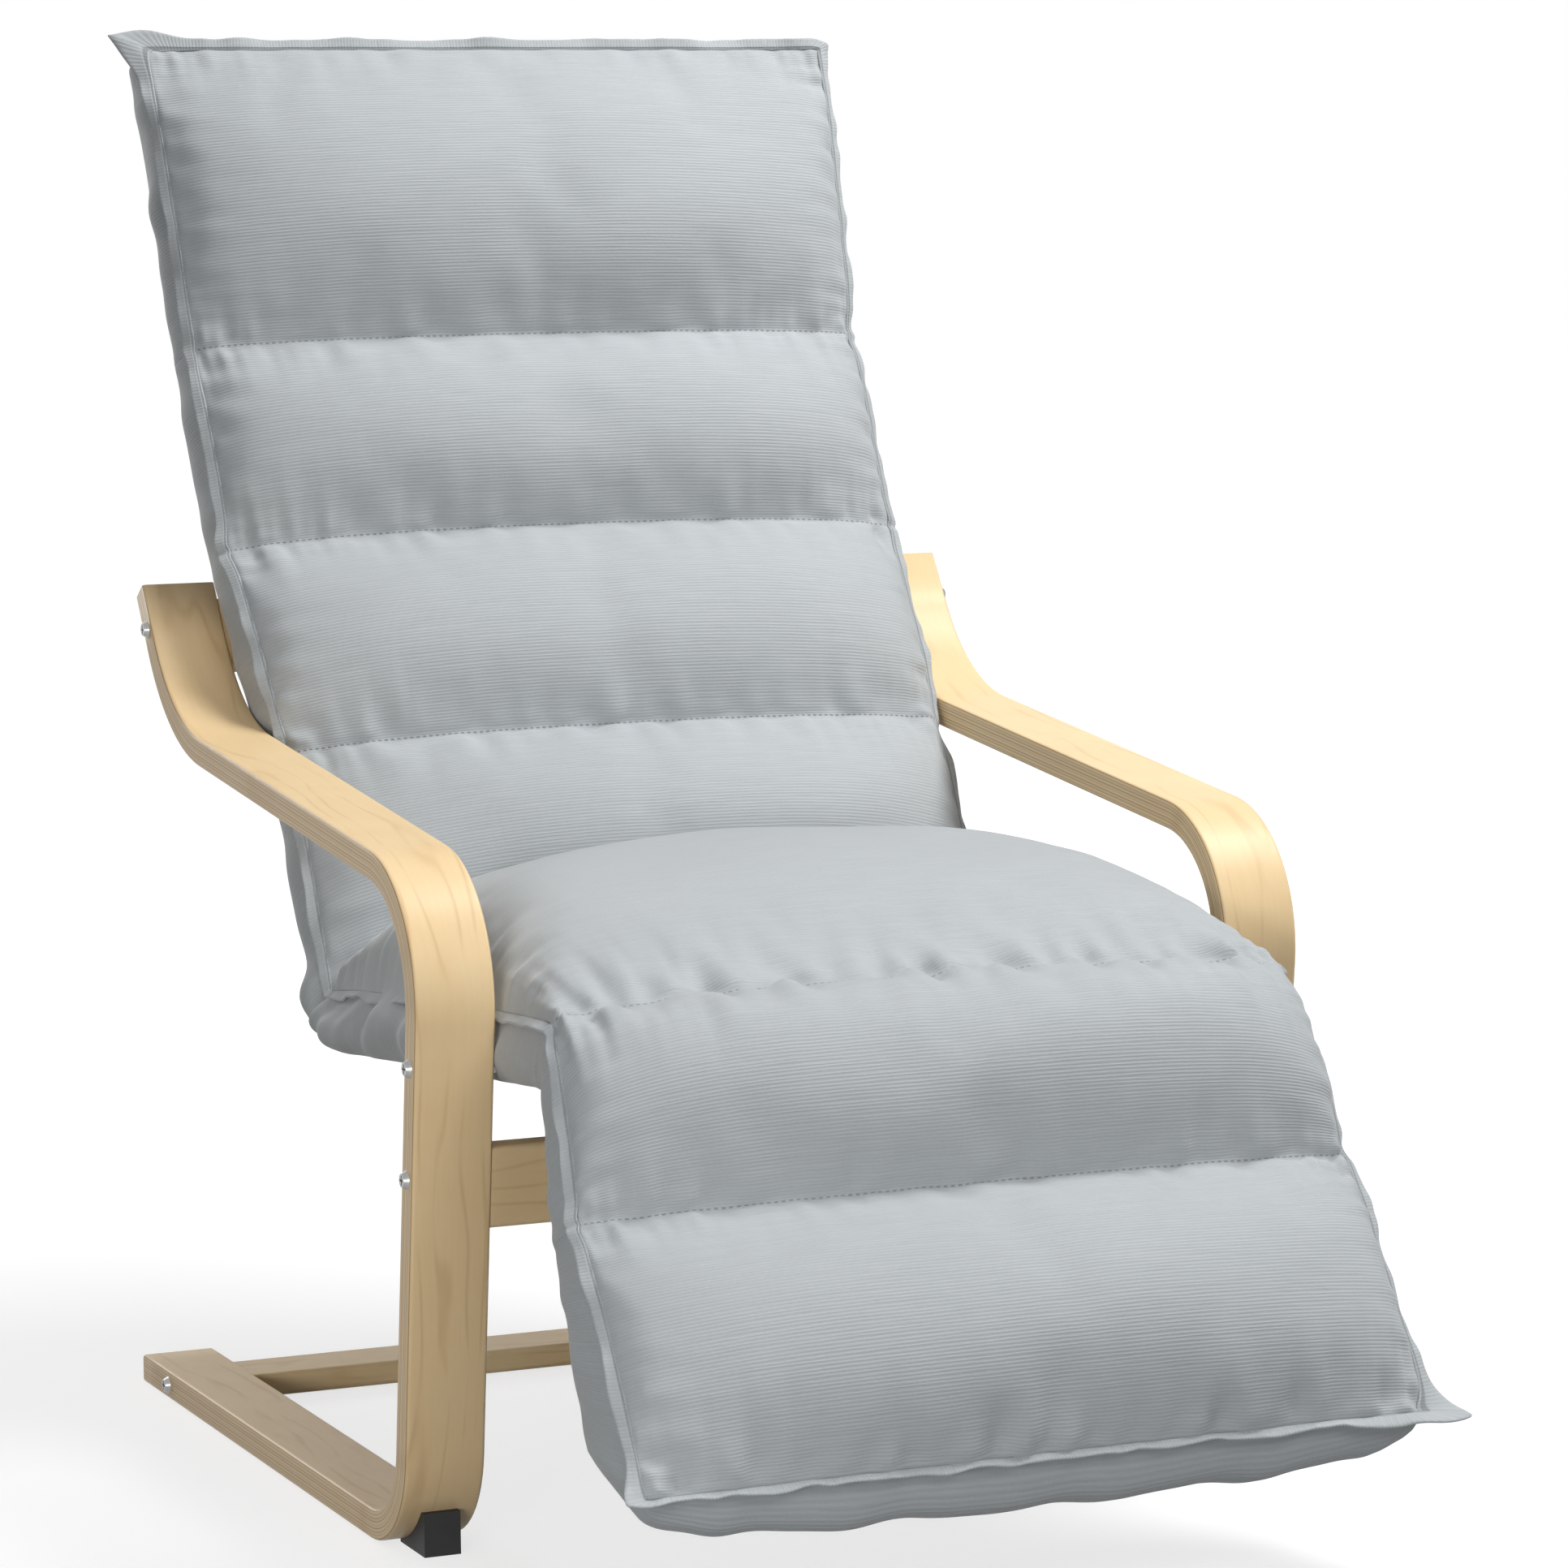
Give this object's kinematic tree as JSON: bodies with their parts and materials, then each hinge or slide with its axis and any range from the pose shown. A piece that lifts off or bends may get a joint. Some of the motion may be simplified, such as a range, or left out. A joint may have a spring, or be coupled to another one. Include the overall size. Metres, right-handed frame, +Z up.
{
  "type": "recliner",
  "caption": "Bentwood recliner: bent birch plywood side frames, a channelled blue-grey fabric pad on a steel tube frame, and a leg rest that lifts on ratchet hinges.",
  "frame": {"origin": "on the floor, under the middle of the whole chair in X and in Y", "axes": "+Z up; the sitter faces -Y; +X is to the sitter's left, across the chair, which is symmetric about X = 0"},
  "size_m": [0.6672, 1.0417, 1.0313],
  "materials": {
    "birch_ply": "pale birch plywood, satin lacquer, ply lines on the edges",
    "zinc_steel": "zinc plated steel",
    "black_rubber": "matt black rubber",
    "dark_tube": "black powder coated steel tube",
    "hinge_steel": "oiled hinge steel",
    "plug_plastic": "black plastic plug",
    "webbing_fabric": "woven polypropylene webbing",
    "blue_grey_fabric": "ribbed woven fabric, light blue-grey"
  },
  "bodies": {
    "chair": {"back_cross_tube": "dark_tube", "back_cushion": "blue_grey_fabric", "back_rail": "birch_ply", "back_rail_screws": "zinc_steel", "back_top_tube": "dark_tube", "back_webbing": "webbing_fabric", "front_lower_rail": "birch_ply", "hinge_brackets": "hinge_steel", "hinge_pins": "zinc_steel", "knee_fold": "blue_grey_fabric", "left_frame_bolts": "zinc_steel", "left_front_foot": "black_rubber", "left_side_frame": "birch_ply", "left_side_tube": "dark_tube", "pawl_pins": "zinc_steel", "pawl_springs": "zinc_steel", "rail_nuts": "zinc_steel", "rail_tenons": "birch_ply", "rear_floor_rail": "birch_ply", "right_frame_bolts": "zinc_steel", "right_front_foot": "black_rubber", "right_side_frame": "birch_ply", "right_side_tube": "dark_tube", "seat_back_cover": "blue_grey_fabric", "seat_cross_tube": "dark_tube", "seat_cushion": "blue_grey_fabric", "seat_spacers": "zinc_steel", "seat_webbing": "webbing_fabric", "tube_plugs": "plug_plastic"},
    "legrest": {"left_legrest_tube": "dark_tube", "right_legrest_tube": "dark_tube", "legrest_end_tube": "dark_tube", "hinge_arms": "hinge_steel", "legrest_webbing": "webbing_fabric", "legrest_cushion": "blue_grey_fabric", "legrest_cover": "blue_grey_fabric"},
    "right_click": {"right_pawl": "hinge_steel"},
    "left_click": {"left_pawl": "hinge_steel"}
  },
  "joints": [
    {"name": "legrest_fold", "type": "hinge", "parent": "chair", "child": "legrest", "pos_m": [0, -0.29742, 0.3478], "axis": [-1, 0, 0], "range_deg": [0, 60], "deforming": ["knee_fold"]},
    {"name": "right_pawl_click", "type": "hinge", "parent": "chair", "child": "right_click", "pos_m": [-0.24, -0.27568, 0.35798], "axis": [1, 0, 0], "range_deg": [0, 7], "stiffness_Nm_per_rad": 0.02},
    {"name": "left_pawl_click", "type": "hinge", "parent": "chair", "child": "left_click", "pos_m": [0.24, -0.27568, 0.35798], "axis": [1, 0, 0], "range_deg": [0, 7], "stiffness_Nm_per_rad": 0.02}
  ]
}
